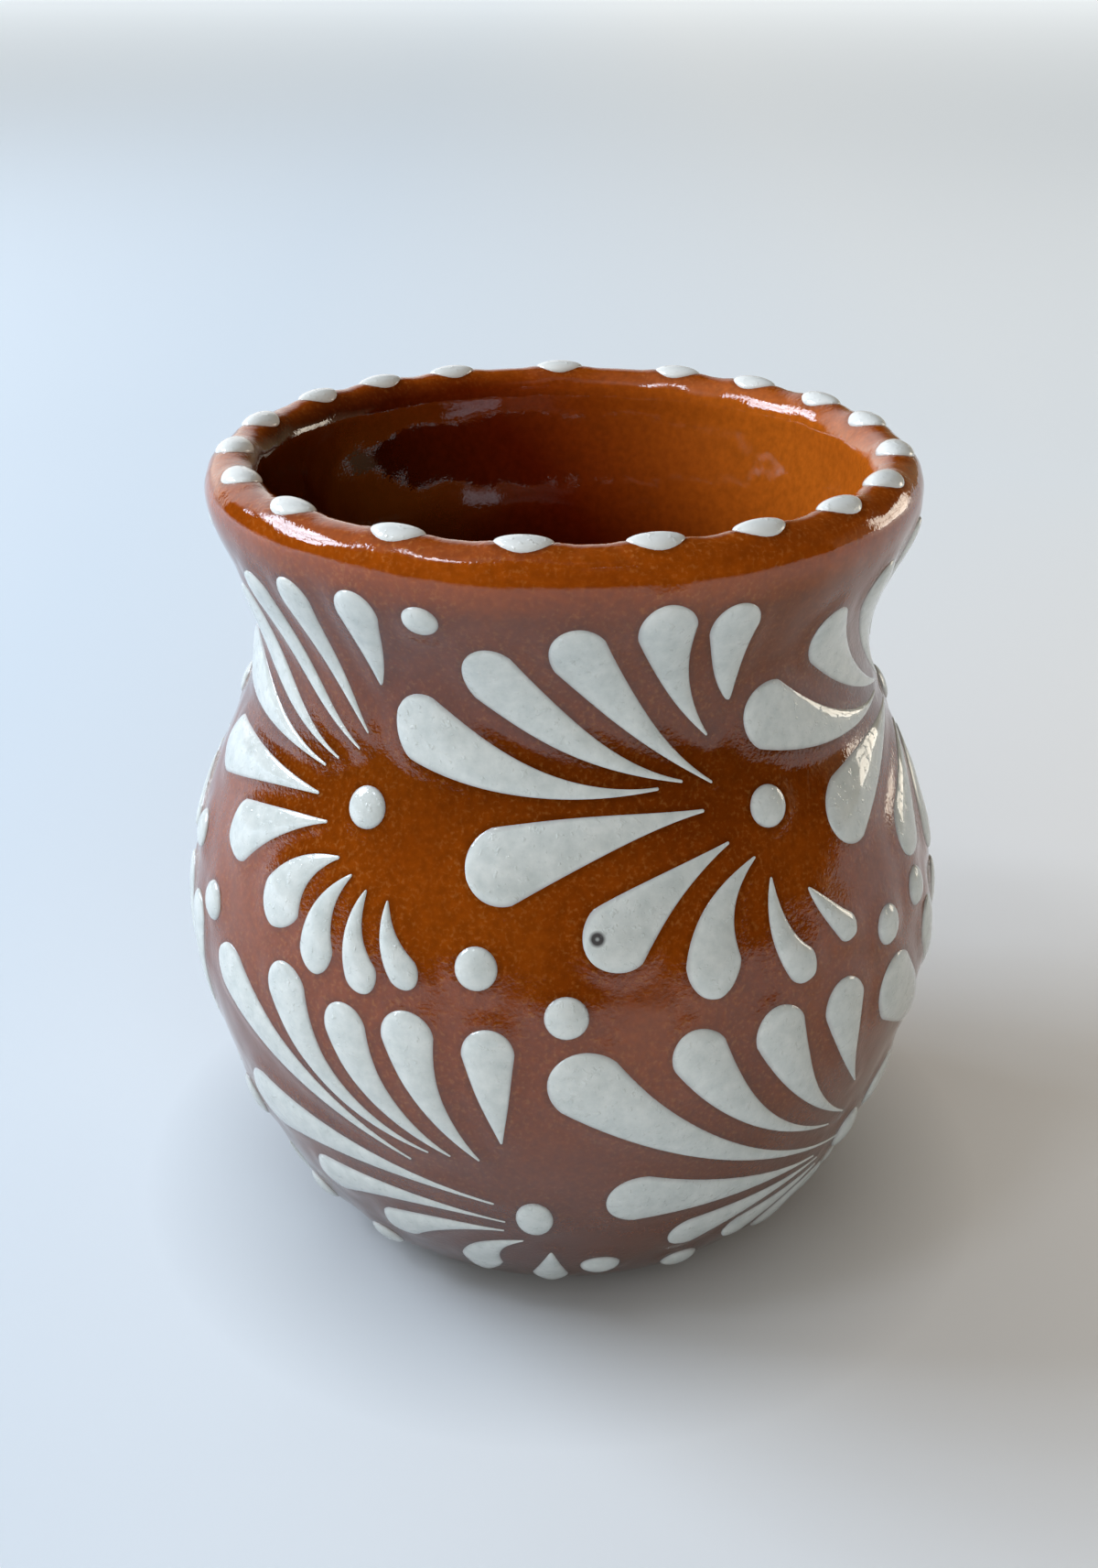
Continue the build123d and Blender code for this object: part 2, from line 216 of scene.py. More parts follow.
def wall_at(length):
    """Radius, height and outward lean of the outer skin at a length from the foot."""
    place = min(max(bisect(lengths, length), 1), len(outside) - 1)
    share = (length - lengths[place - 1]) / (lengths[place] - lengths[place - 1])
    before, after = outside[place - 1], outside[place]
    earlier, later = outside[max(place - 2, 0)], outside[min(place + 1, len(outside) - 1)]
    along = (after - earlier).normalized() * (1 - share) + (later - before).normalized() * share
    along.normalize()
    middle = before.lerp(after, share)
    return middle.x, middle.y, along.y, -along.x


def radius_at(height):
    """Outer radius of the wall at a height."""
    for lower, upper in zip(outside, outside[1:]):
        if upper.y >= height:
            return lower.x + (upper.x - lower.x) * (height - lower.y) / (upper.y - lower.y)


top_root = radius_at(HANDLE_TOP) - HANDLE_ROOT_DEPTH
foot_root = radius_at(HANDLE_FOOT) - HANDLE_ROOT_DEPTH
strap_line = curve(
    (top_root, HANDLE_TOP),
    (top_root + HANDLE_TOP_PULL[0], HANDLE_TOP + HANDLE_TOP_PULL[1]),
    (foot_root + HANDLE_FOOT_PULL[0], HANDLE_FOOT + HANDLE_FOOT_PULL[1]),
    (foot_root, HANDLE_FOOT),
    HANDLE_STEPS + 1,
)
strap = bmesh.new()
bmesh.ops.create_circle(strap, segments=HANDLE_SIDES, radius=1.0)
ring = strap.edges[:]
ring_verts = strap.verts[:]
for step, place in enumerate(strap_line):
    share = step / HANDLE_STEPS
    before, after = strap_line[max(step - 1, 0)], strap_line[min(step + 1, HANDLE_STEPS)]
    along = (after - before).normalized()
    spread = 1 + SMEAR * max(0, 1 - min(share, 1 - share) / SMEAR_SHARE) ** 2
    half_width = (HANDLE_WIDTH + (HANDLE_END_WIDTH - HANDLE_WIDTH) * share) / 2 * spread
    half_thick = (HANDLE_THICKNESS + (HANDLE_END_THICKNESS - HANDLE_THICKNESS) * share) / 2 * spread
    if step > 0:
        grown = bmesh.ops.extrude_edge_only(strap, edges=ring)["geom"]
        ring = [item for item in grown if isinstance(item, bmesh.types.BMEdge) and item.is_boundary]
        ring_verts = [item for item in grown if isinstance(item, bmesh.types.BMVert)]
    for number, vert in enumerate(ring_verts):
        turn = 2 * pi * number / HANDLE_SIDES
        side, out = half_width * cos(turn), half_thick * sin(turn)
        vert.co = Vector((side, place.x - along.y * out, place.y + along.x * out)) * MM
bmesh.ops.holes_fill(strap, edges=strap.edges[:])
bmesh.ops.recalc_face_normals(strap, faces=strap.faces[:])
handle = finished_piece(strap, "pulled_handle", "glazed_clay", "handle")

# Upper and lower flowers: fans of comma-shaped drops of white slip, squeezed on to the leather-hard clay.
# Each drop starts as a thin tail and swells to a round head, and stands under a millimetre proud.
# They are drawn on a flat strip that wraps once round the mug. A petal is its tail and its head from the
# flower's centre, its width, its bow and its taper.
STRIP_GIRTH = 282.7
STRIP_HEIGHT = 101.0
PETAL_RISE = 0.62
PETAL_FULLNESS = 1.3
PETAL_SEGMENTS = (24, 44)
TAIL_END = 0.12
HEAD_START = 0.7
TIP_SHARE = 0.05
FACE_ARCH = 1.7 * pi
UNEVEN = 0.035
UNEVEN_ALONG = 9.0
UNEVEN_ACROSS = 3.0
UNEVEN_START = 2.1
GLAZE_RISE = 0.2
SLIP_SUNK = 0.06
SLIP_LIFT = GLAZE_RISE - SLIP_SUNK
SLIP_BED = 0.4
HANDLE_ROOM = 1.2
FIT_STEPS = 24
UPPER_CENTRE = 73.2
UPPER_TURNS = (-95.5, -32.0, 33.9, 93.6, 150.5, 207.5)
UPPER_KINDS = ("open", "open", "full", "full", "open", "open")
UPPER_PETALS = {
    "open": (
        (0.8, 13.5, 0.3, 25.6, 6.2, 0.0, 0.8),
        (-1.6, 7.6, -10.1, 24.9, 6.0, 1.9, 1.3),
        (-2.7, 5.7, -20.0, 23.0, 6.0, 2.5, 1.4),
        (-5.9, 4.0, -29.2, 18.4, 6.6, 2.2, 1.5),
        (-7.9, 2.8, -37.0, 9.6, 7.4, 0.7, 1.5),
        (-7.9, -0.3, -35.5, -2.8, 7.0, -0.5, 1.1),
        (-5.4, -2.8, -23.0, -10.4, 7.1, -1.0, 1.3),
        (-2.3, -5.9, -10.4, -16.0, 6.5, -2.2, 1.1),
        (-0.1, -7.2, -2.6, -18.8, 4.8, -2.0, 0.9),
        (2.2, -8.3, 4.2, -18.9, 4.0, -1.7, 0.8),
        (5.1, -8.8, 9.4, -17.1, 3.7, -1.2, 0.8),
    ),
    "full": (
        (-4.6, 12.3, -6.6, 25.0, 6.6, 0.4, 0.7),
        (-7.6, 8.8, -15.3, 25.8, 6.9, 1.6, 1.2),
        (-7.4, 3.8, -26.8, 22.8, 7.4, 1.6, 1.5),
        (-11.4, 4.4, -38.0, 19.2, 7.6, 2.2, 1.5),
        (-14.6, 4.0, -48.6, 11.3, 7.8, 2.3, 1.5),
        (-9.0, 1.1, -37.6, -5.2, 8.6, -1.5, 1.3),
        (-6.4, -2.6, -23.4, -13.2, 7.6, -1.3, 1.3),
        (-3.3, -4.7, -9.8, -18.3, 6.5, -3.0, 1.1),
        (-1.7, -7.2, 2.2, -18.8, 4.2, -1.8, 0.8),
        (3.2, -9.6, 9.2, -16.6, 3.4, -0.3, 0.7),
    ),
}
LOWER_CENTRE = 25.4
LOWER_TURNS = (-64.7, -4.1, 54.7, 107.6, 168.5, 232.0)
LOWER_KINDS = ("open", "open", "full", "full", "open", "open")
LOWER_PETALS = {
    "open": (
        (-3.2, 12.9, -4.7, 27.2, 5.9, 0.0, 1.0),
        (-5.8, 9.8, -13.6, 27.9, 6.1, 1.6, 1.1),
        (-9.1, 9.8, -21.5, 26.8, 5.7, 2.3, 1.1),
        (-11.7, 9.7, -30.3, 28.5, 6.0, 3.6, 1.3),
        (-14.1, 7.8, -42.8, 24.8, 6.9, 0.8, 1.4),
        (-4.7, 2.4, -41.0, 5.9, 8.7, -1.6, 1.8),
        (-3.6, -1.0, -31.0, -2.5, 6.2, -1.9, 1.7),
        (-3.9, -2.9, -21.4, -8.3, 6.0, -1.5, 1.4),
        (-1.6, -4.9, -8.2, -15.2, 6.2, -2.6, 1.1),
        (1.9, -7.7, 1.5, -17.8, 5.4, 0.0, 0.9),
    ),
    "full": (
        (-4.4, 10.6, -9.5, 26.8, 6.4, 1.4, 1.3),
        (-4.5, 5.7, -19.7, 26.8, 6.3, 2.7, 1.5),
        (-7.2, 5.1, -29.8, 26.3, 6.1, 3.4, 1.5),
        (-1.8, -0.2, -43.3, 23.9, 8.7, 3.3, 2.1),
        (-7.0, -0.7, -37.7, 3.8, 8.5, 0.0, 1.6),
        (-5.4, -2.0, -28.5, -7.1, 6.4, -0.9, 1.5),
        (-4.4, -3.9, -18.7, -10.9, 5.6, -0.6, 1.3),
        (-1.4, -5.6, -8.2, -16.0, 5.6, -2.2, 1.1),
        (1.9, -8.6, 1.5, -18.6, 5.0, 0.0, 0.9),
    ),
}


def on_wall(turn, length, lift):
    """Point this far above the outer skin, at an angle from the front and a length from the foot."""
    radius, height, out, up = wall_at(length)
    radius += waver(turn, height) + out * lift
    return Vector((radius * sin(turn), -radius * cos(turn), height + up * lift)) * MM


def stroke(petal, along):
    """Place, sideways direction and half width of a petal, from its tail at 0 to its head at 1."""
    tip_x, tip_y, head_x, head_y, width, bow, taper = petal
    run_x, run_y = head_x - tip_x, head_y - tip_y
    length = hypot(run_x, run_y)
    head = 1 - width / 2 / length
    tail = TIP_SHARE * width / 2 / length
    share = tail + (head - tail) * (along - TAIL_END) / (HEAD_START - TAIL_END)
    cap = 1.0
    if along < TAIL_END:
        lean = along / TAIL_END * pi / 2
        share = tail * (1 - cos(lean))
        cap = sin(lean)
    if along > HEAD_START:
        lean = (along - HEAD_START) / (1 - HEAD_START) * pi / 2
        share = head + (1 - head) * sin(lean)
        cap = max(0, cos(lean))
    half = width / 2 * cap * (TIP_SHARE + (1 - TIP_SHARE) * min(share / head, 1) ** taper)
    push = 4 * bow * share * (1 - share) / length
    swing = 4 * bow * (1 - 2 * share) / length
    ahead_x, ahead_y = run_x - run_y * swing, run_y + run_x * swing
    size = hypot(ahead_x, ahead_y)
    x = tip_x + run_x * share - run_y * push
    y = tip_y + run_y * share + run_x * push
    return x, y, -ahead_y / size, ahead_x / size, half


def lay_petal(slip, petal, centre, turn):
    """Draw one ball of slip out along its stroke and press it on to the wall."""
    edge = slip.verts.layers.float["edge"]
    sides, steps = PETAL_SEGMENTS
    ball = bmesh.ops.create_uvsphere(slip, u_segments=sides, v_segments=steps, radius=1.0)["verts"]
    uneven_start = UNEVEN_START * petal[0] + petal[3]
    for vert in ball:
        along = 1 - acos(min(max(vert.co.z, -1), 1)) / pi
        round_turn = atan2(vert.co.y, vert.co.x) % (2 * pi)
        x, y, side_x, side_y, half = stroke(petal, along)
        if round_turn < FACE_ARCH:
            arch = round_turn / FACE_ARCH * pi
            side = cos(arch)
            crown = max(0, sin(arch)) ** PETAL_FULLNESS
            lift = PETAL_RISE * sqrt(half / petal[4] * 2) * crown
        else:
            side = -1 + 2 * (round_turn - FACE_ARCH) / (2 * pi - FACE_ARCH)
            crown = 0
            lift = -min(SLIP_BED, half) * (1 - side * side)
        vert[edge] = 1 - crown
        wave = sin(UNEVEN_ALONG * along + UNEVEN_ACROSS * side + uneven_start)
        across = half * side * (1 + UNEVEN * wave)
        strip_turn = radians(turn) + 2 * pi * (x + side_x * across) / STRIP_GIRTH
        length = (centre + y + side_y * across) * WALL_LENGTH / STRIP_HEIGHT
        vert.co = on_wall(strip_turn, length, lift + SLIP_LIFT)


def behind_handle(x, y, half):
    """Whether slip of this half width would lie under a root of the handle or behind its strap."""
    turn = 2 * pi * x / STRIP_GIRTH
    radius, height, _, _ = wall_at(y * WALL_LENGTH / STRIP_HEIGHT)
    room = half + HANDLE_ROOM
    root = HANDLE_THICKNESS / 2 + HANDLE_ROOT_DEPTH + room
    in_line = cos(turn) < 0 and abs(radius * sin(turn)) < HANDLE_WIDTH / 2 + room
    return in_line and HANDLE_FOOT - root < height < HANDLE_TOP + root


def petal_fits(petal, centre, turn):
    """Whether all of a petal is clear of the handle."""
    for step in range(FIT_STEPS + 1):
        x, y, _, _, half = stroke(petal, step / FIT_STEPS)
        if behind_handle(x + turn / 360 * STRIP_GIRTH, centre + y, half):
            return False
    return True


def new_slip():
    """An empty bmesh for slip, which keeps how near each point is to the edge of its drop."""
    slip = bmesh.new()
    slip.verts.layers.float.new("edge")
    return slip


slip_pieces = []
bands = (
    ("upper", UPPER_CENTRE, UPPER_TURNS, UPPER_KINDS, UPPER_PETALS),
    ("lower", LOWER_CENTRE, LOWER_TURNS, LOWER_KINDS, LOWER_PETALS),
)
for band, centre, turns, kinds, drawings in bands:
    for place, (turn, kind) in enumerate(zip(turns, kinds), start=1):
        slip = new_slip()
        for petal in drawings[kind]:
            if petal_fits(petal, centre, turn):
                lay_petal(slip, petal, centre, turn)
        bmesh.ops.recalc_face_normals(slip, faces=slip.faces[:])
        name, node = f"{band}_petals_{place}", f"{band}_flower_{place}"
        slip_pieces.append(finished_piece(slip, name, "white_slip", node))

# Slip dots: single drops of the same slip, let fall in the flowers' centres, between the fans, by the foot
# and in a row along the top of the lip. Each settled to a round or oval button.
DOT_RISE = 0.78
RIM_DOT_RISE = 0.78
DOT_FULLNESS = 1.1
DOT_SEGMENTS = (28, 18)
UPPER_DOT = (5.4, 4.6)
LOWER_DOT = (4.6, 6.5)
SMALL_DOT = (4.7, 4.7)
FOOT_DOT = (5.8, 4.8)
NECK_DOT = (4.5, 3.5)
RIM_DOT = (5.9, 4.4)
RIM_DOT_POINT = 0.25
RIM_DOT_DRIFT = 0.6
WAIST_PLACES = {"open": ((16.0, -14.2), (25.6, -18.9)), "full": ((15.9, -18.4), (24.7, -17.6))}
FOOT_PLACES = ((8.8, -11.7), (21.7, -14.6))
NECK_PLACE = (8.9, 23.3)
RIM_DOT_TURNS = (
    -179, -157, -141, -125, -105, -87, -68, -48, -26, -6, 14, 31.5, 49.5, 66.5, 86, 106, 122.5, 140, 157,
)


def lay_dot(slip, turn, length, width, height, rise, point=0.0):
    """Press one ball of slip flat on the wall, this wide round the mug, this high up it and this pointed."""
    edge = slip.verts.layers.float["edge"]
    ring_radius = wall_at(length)[0]
    sides, rows = DOT_SEGMENTS
    ball = bmesh.ops.create_uvsphere(slip, u_segments=sides, v_segments=rows, radius=1.0)["verts"]
    for vert in ball:
        x, y, z = vert.co
        crown = max(z, 0) ** DOT_FULLNESS
        vert[edge] = 1 - crown
        lift = rise * crown - SLIP_BED * max(-z, 0) + SLIP_LIFT
        y *= 1 - point * x * x
        vert.co = on_wall(radians(turn) + width / 2 * x / ring_radius, length + height / 2 * y, lift)


def lay_ring(slip, strip_y, size, turns):
    """Lay equal dots at one height on the strip, except where the handle is in the way."""
    length = strip_y * WALL_LENGTH / STRIP_HEIGHT
    width = size[0] * 2 * pi * wall_at(length)[0] / STRIP_GIRTH
    for turn in turns:
        if not behind_handle(turn / 360 * STRIP_GIRTH, strip_y, size[0] / 2):
            lay_dot(slip, turn, length, width, size[1], DOT_RISE)


def beside(turns, x):
    """Angles of the places this far along the strip from each flower."""
    return [turn + x / STRIP_GIRTH * 360 for turn in turns]


def drawn(kind):
    """Angles of the upper flowers drawn this way."""
    return [turn for turn, name in zip(UPPER_TURNS, UPPER_KINDS) if name == kind]


dots = new_slip()
lay_ring(dots, UPPER_CENTRE, UPPER_DOT, UPPER_TURNS)
slip_pieces.append(finished_piece(dots, "upper_centre_dots", "white_slip", "upper_centres"))

dots = new_slip()
lay_ring(dots, LOWER_CENTRE, LOWER_DOT, LOWER_TURNS)
slip_pieces.append(finished_piece(dots, "lower_centre_dots", "white_slip", "lower_centres"))

dots = new_slip()
for kind, places in WAIST_PLACES.items():
    for x, y in places:
        lay_ring(dots, UPPER_CENTRE + y, SMALL_DOT, beside(drawn(kind), x))
slip_pieces.append(finished_piece(dots, "waist_pairs", "white_slip", "waist_dots"))

dots = new_slip()
for x, y in FOOT_PLACES:
    lay_ring(dots, LOWER_CENTRE + y, FOOT_DOT, beside(LOWER_TURNS, x))
slip_pieces.append(finished_piece(dots, "foot_pairs", "white_slip", "foot_dots"))

dots = new_slip()
lay_ring(dots, UPPER_CENTRE + NECK_PLACE[1], NECK_DOT, beside(drawn("open"), NECK_PLACE[0]))
slip_pieces.append(finished_piece(dots, "neck_fillers", "white_slip", "neck_dots"))

dots = new_slip()
for turn in RIM_DOT_TURNS:
    inset = RIM_DOT_DRIFT * cos(radians(turn))
    lay_dot(dots, turn, WALL_LENGTH + LIP_RADIUS * pi / 2 + inset, *RIM_DOT, RIM_DOT_RISE, RIM_DOT_POINT)
slip_pieces.append(finished_piece(dots, "lip_dots", "white_slip", "rim_dots"))

# Clear glaze on the clay: a low-fired glaze over red earthenware, smooth, glossy and orange brown.
# It shows daylight as sharp panes and creeps up against each drop of slip. Round the foot of each drop it is
# darker: partly glaze pooled there, partly painted shade in the crease.
# Inside it is painted light and shade: nearly black at the left and deep down, where shade falls,
# and orange at the right and up towards the lip, where the left window's light falls into the mug.
GLAZE_REACH = 2.2
SLIP_NEAR = 4.0
INSIDE_FLOOR = 20.0
CLAY_DARK = "#722C04"
CLAY_LIGHT = "#A64F0B"
CLAY_FLECK_AND_GLINT = "#C98A48"
CLOUD_SIZE = 14.0
PEEL_SIZE = 7.0
PEEL_DEPTH = 0.4
GLAZE_IOR = 1.66
GLAZE_ROUGHNESS = (0.02, 0.05)
NOISE_RANGE = (0.3, 0.7)
# Darker round each drop of slip: partly glaze pooled there, partly painted shade in the crease.
POOL_AND_CREASE_REACH = (0.1, 0.7)
POOL_AND_CREASE_SHADE = 0.7
# Pits and flecks of the real glaze are about a fifth of a millimetre. These are drawn coarser, to show.
GRAIN_SIZE = 0.9
GRAIN_SHADES = (0.86, 1.12)
WRINKLE_SIZE = 0.45
WRINKLE_DEPTH = 0.045
WRINKLE_FROM = 0.3
WRINKLE_FAR = 0.25
# Golden flecks, most beside the slip: partly flecks in the glaze, partly painted glints on its ripples.
FLECK_AND_GLINT_RANGE = (0.53, 0.75)
FLECK_AND_GLINT_SHARE = 0.3
# Shades by height: darker towards the foot, and painted shade from the neck up, under the lip.
# On the lip the outer colour is brighter.
DARKER_HEIGHTS = ((8.0, 55.0, 0.25, 0.95), (62.0, 71.0, 1.0, 0.67))
LIP_HEIGHTS = (89.0, 93.5)
LIP_BRIGHTNESS = 2.05
# Inside: painted shade at the left and deep down, and steps of painted light to the right and up to the lip.
LINING_PAINTED_SHADE = "#200401"
LINING_LIGHT_WAY = (1, 0, 0.8)
LINING_PAINTED_LIGHT = ((42.0, 72.0, "#8A2003"), (64.0, 100.0, "#EC7A20"))
LINING_FACING = (0.2, 0.9)
LINING_SHARE = 0.85

gathered = bmesh.new()
for piece in slip_pieces:
    gathered.from_mesh(piece.data)
slip_tree = BVHTree.FromBMesh(gathered)
gathered.free()
for piece in (body, handle):
    gaps = []
    for vert in piece.data.vertices:
        near = slip_tree.find_nearest(vert.co, SLIP_NEAR * MM)
        gaps.append(SLIP_NEAR if near[0] is None else near[3] / MM)
    piece.data.attributes.new("slip_gap", "FLOAT", "POINT").data.foreach_set("value", gaps)
    shares = [max(0, 1 - gap / GLAZE_REACH) for gap in gaps]
    raised = [
        vert.co + vert.normal * share * share * (3 - 2 * share) * GLAZE_RISE * MM
        for vert, share in zip(piece.data.vertices, shares)
    ]
    for vert, place in zip(piece.data.vertices, raised):
        vert.co = place
    piece.data.update()
facing_in = []
for vert in body.data.vertices:
    outward = Vector((vert.co.x, vert.co.y, 0)).normalized()
    floor_up = vert.normal.z if vert.co.z < INSIDE_FLOOR * MM else 0
    facing_in.append(max(-vert.normal.dot(outward), floor_up, 0))
body.data.attributes.new("inward", "FLOAT", "POINT").data.foreach_set("value", facing_in)


def colour(code):
    """An sRGB hex colour as linear red, green, blue and alpha."""
    values = [int(code[place:place + 2], 16) / 255 for place in (1, 3, 5)]
    return [v / 12.92 if v <= 0.04045 else ((v + 0.055) / 1.055) ** 2.4 for v in values] + [1.0]


def add_node(tree, kind, inputs=None, **settings):
    """Add one shader node. An input given as a socket is linked, any other is set."""
    node = tree.nodes.new(kind)
    for name, value in settings.items():
        setattr(node, name, value)
    for name, value in (inputs or {}).items():
        if isinstance(value, bpy.types.NodeSocket):
            tree.links.new(value, node.inputs[name])
        else:
            node.inputs[name].default_value = value
    return node


def new_material(name):
    """A material with only its output node, and that node's surface socket."""
    material = bpy.data.materials.new(name)
    material.use_nodes = True
    tree = material.node_tree
    tree.nodes.clear()
    return material, tree, tree.nodes.new("ShaderNodeOutputMaterial").inputs["Surface"]


glazed_clay, tree, surface = new_material("clear_glaze_on_red_earthenware")
place = add_node(tree, "ShaderNodeTexCoord").outputs["Object"]
height = add_node(tree, "ShaderNodeSeparateXYZ", {"Vector": place}).outputs["Z"]
gap = add_node(tree, "ShaderNodeAttribute", attribute_name="slip_gap").outputs["Fac"]
inward = add_node(tree, "ShaderNodeAttribute", attribute_name="inward").outputs["Fac"]
clouds = add_node(
    tree, "ShaderNodeTexNoise", {"Vector": place, "Scale": 1 / (CLOUD_SIZE * MM), "Detail": 3.0}
)
grain = add_node(tree, "ShaderNodeTexNoise", {"Vector": place, "Scale": 1 / (GRAIN_SIZE * MM), "Detail": 2.0})
peel = add_node(tree, "ShaderNodeTexNoise", {"Vector": place, "Scale": 1 / (PEEL_SIZE * MM), "Detail": 1.0})
wrinkle = add_node(
    tree, "ShaderNodeTexNoise", {"Vector": place, "Scale": 1 / (WRINKLE_SIZE * MM), "Detail": 2.0}
)
fired = add_node(
    tree,
    "ShaderNodeMix",
    {0: clouds.outputs["Fac"], 6: colour(CLAY_DARK), 7: colour(CLAY_LIGHT)},
    data_type="RGBA",
)
beside_slip = add_node(
    tree,
    "ShaderNodeMapRange",
    {
        "Value": gap,
        "From Min": WRINKLE_FROM,
        "From Max": SLIP_NEAR,
        "To Min": 1.0,
        "To Max": WRINKLE_FAR,
    },
)
# Golden flecks, most beside the slip: partly flecks in the glaze, partly painted glints on its ripples.
fleck_and_glint = add_node(
    tree,
    "ShaderNodeMapRange",
    {
        "Value": wrinkle.outputs["Fac"],
        "From Min": FLECK_AND_GLINT_RANGE[0],
        "From Max": FLECK_AND_GLINT_RANGE[1],
        "To Max": FLECK_AND_GLINT_SHARE,
    },
)
fleck_and_glint = add_node(
    tree, "ShaderNodeMath", {0: fleck_and_glint.outputs[0], 1: beside_slip.outputs[0]}, operation="MULTIPLY"
)
fired = add_node(
    tree, "ShaderNodeMix", {0: fleck_and_glint.outputs[0], 6: fired.outputs[2], 7: colour(CLAY_FLECK_AND_GLINT)}, data_type="RGBA"
)
# Brighter on the lip, on the outer colour only.
brighter_lip = add_node(
    tree,
    "ShaderNodeMapRange",
    {
        "Value": height,
        "From Min": LIP_HEIGHTS[0] * MM,
        "From Max": LIP_HEIGHTS[1] * MM,
        "To Min": 1.0,
        "To Max": LIP_BRIGHTNESS,
    },
)
fired = add_node(
    tree,
    "ShaderNodeMix",
    {0: 1.0, 6: fired.outputs[2], 7: brighter_lip.outputs[0]},
    data_type="RGBA",
    blend_type="MULTIPLY",
)

# Painted light and shade inside: dark at the left and deep down, orange at the right and up to the lip.
from_left = add_node(tree, "ShaderNodeVectorMath", {0: place, 1: LINING_LIGHT_WAY}, operation="DOT_PRODUCT")
lining = colour(LINING_PAINTED_SHADE)
for start, end, tint in LINING_PAINTED_LIGHT:
    lit_share = add_node(
        tree,
        "ShaderNodeMapRange",
        {"Value": from_left.outputs["Value"], "From Min": start * MM, "From Max": end * MM},
    )
    lining = add_node(
        tree, "ShaderNodeMix", {0: lit_share.outputs[0], 6: lining, 7: colour(tint)}, data_type="RGBA"
    ).outputs[2]
lined = add_node(
    tree,
    "ShaderNodeMapRange",
    {
        "Value": inward,
        "From Min": LINING_FACING[0],
        "From Max": LINING_FACING[1],
        "To Max": LINING_SHARE,
    },
)
coat = add_node(
    tree, "ShaderNodeMix", {0: lined.outputs[0], 6: fired.outputs[2], 7: lining}, data_type="RGBA"
)

grainy = add_node(
    tree,
    "ShaderNodeMapRange",
    {
        "Value": grain.outputs["Fac"],
        "From Min": NOISE_RANGE[0],
        "From Max": NOISE_RANGE[1],
        "To Min": GRAIN_SHADES[0],
        "To Max": GRAIN_SHADES[1],
    },
)
# Darker round each drop of slip: partly glaze pooled there, partly painted shade in the crease.
pooled_and_shaded = add_node(
    tree,
    "ShaderNodeMapRange",
    {
        "Value": gap,
        "From Min": POOL_AND_CREASE_REACH[0],
        "From Max": POOL_AND_CREASE_REACH[1],
        "To Min": POOL_AND_CREASE_SHADE,
        "To Max": 1.0,
    },
)
shade = add_node(
    tree, "ShaderNodeMath", {0: grainy.outputs[0], 1: pooled_and_shaded.outputs[0]}, operation="MULTIPLY"
)
# Darker towards the foot, and painted shade from the neck up, under the lip.
for low, high, low_shade, high_shade in DARKER_HEIGHTS:
    darker_band = add_node(
        tree,
        "ShaderNodeMapRange",
        {
            "Value": height,
            "From Min": low * MM,
            "From Max": high * MM,
            "To Min": low_shade,
            "To Max": high_shade,
        },
    )
    shade = add_node(
        tree, "ShaderNodeMath", {0: shade.outputs[0], 1: darker_band.outputs[0]}, operation="MULTIPLY"
    )
skin = add_node(
    tree,
    "ShaderNodeMix",
    {0: 1.0, 6: coat.outputs[2], 7: shade.outputs[0]},
    data_type="RGBA",
    blend_type="MULTIPLY",
)
gloss = add_node(
    tree,
    "ShaderNodeMapRange",
    {
        "Value": clouds.outputs["Fac"],
        "From Min": NOISE_RANGE[0],
        "From Max": NOISE_RANGE[1],
        "To Min": GLAZE_ROUGHNESS[0],
        "To Max": GLAZE_ROUGHNESS[1],
    },
)
peel_bump = add_node(
    tree, "ShaderNodeBump", {"Strength": 0.7, "Distance": PEEL_DEPTH * MM, "Height": peel.outputs["Fac"]}
)
fine_bump = add_node(
    tree,
    "ShaderNodeBump",
    {
        "Strength": beside_slip.outputs[0],
        "Distance": WRINKLE_DEPTH * MM,
        "Height": wrinkle.outputs["Fac"],
        "Normal": peel_bump.outputs[0],
    },
)
shader = add_node(
    tree,
    "ShaderNodeBsdfPrincipled",
    {
        "Base Color": skin.outputs[2],
        "Roughness": gloss.outputs[0],
        "IOR": GLAZE_IOR,
        "Normal": fine_bump.outputs[0],
    },
)
tree.links.new(shader.outputs[0], surface)
body.data.materials.append(glazed_clay)
handle.data.materials.append(glazed_clay)

# Clear glaze on the slip: white earthenware slip under the same glaze, a cool, milky, mottled white.
# It is thinnest at the edge of each drop, where the red clay shows through, and whiter on the lip.
# Small blisters ripple its shine, and on one petal a bubble burst and left a dark ring.
SLIP_DARK = "#B9C2BD"
SLIP_LIGHT = "#FAFBF4"
SLIP_EDGE = "#8E7C7E"
SLIP_ON_LIP = "#FDFEF8"
MOTTLE_SIZE = 2.0
BLISTER_SIZE = 0.7
BLISTER_DEPTH = 0.1
BLISTER_RANGE = (0.6, 0.75)
SWELL_SIZE = 4.0
SWELL_DEPTH = 0.2
EDGE_FROM = 0.55
EDGE_SHARE = 0.6
# The slip is darker towards the foot.
LOW_DARK_HEIGHTS = (5.0, 42.0)
LOW_DARK_SHADE = 0.76
# The slip is whiter on the lip.
LIP_WHITE_HEIGHTS = (88.0, 94.0)
LIP_WHITE_SHARE = 0.7
SLIP_ROUGHNESS = 0.06
SLIP_IOR = 1.6
BURST_FLOWER = UPPER_TURNS[2]
BURST_PLACE = (-22.9, -10.6)
BURST_LIFT = 0.6
BURST_RADIUS = 0.42
BURST_WIDTHS = (0.14, 0.52)
BURST_SHARE = 0.9
BURST_COLOUR = "#241214"

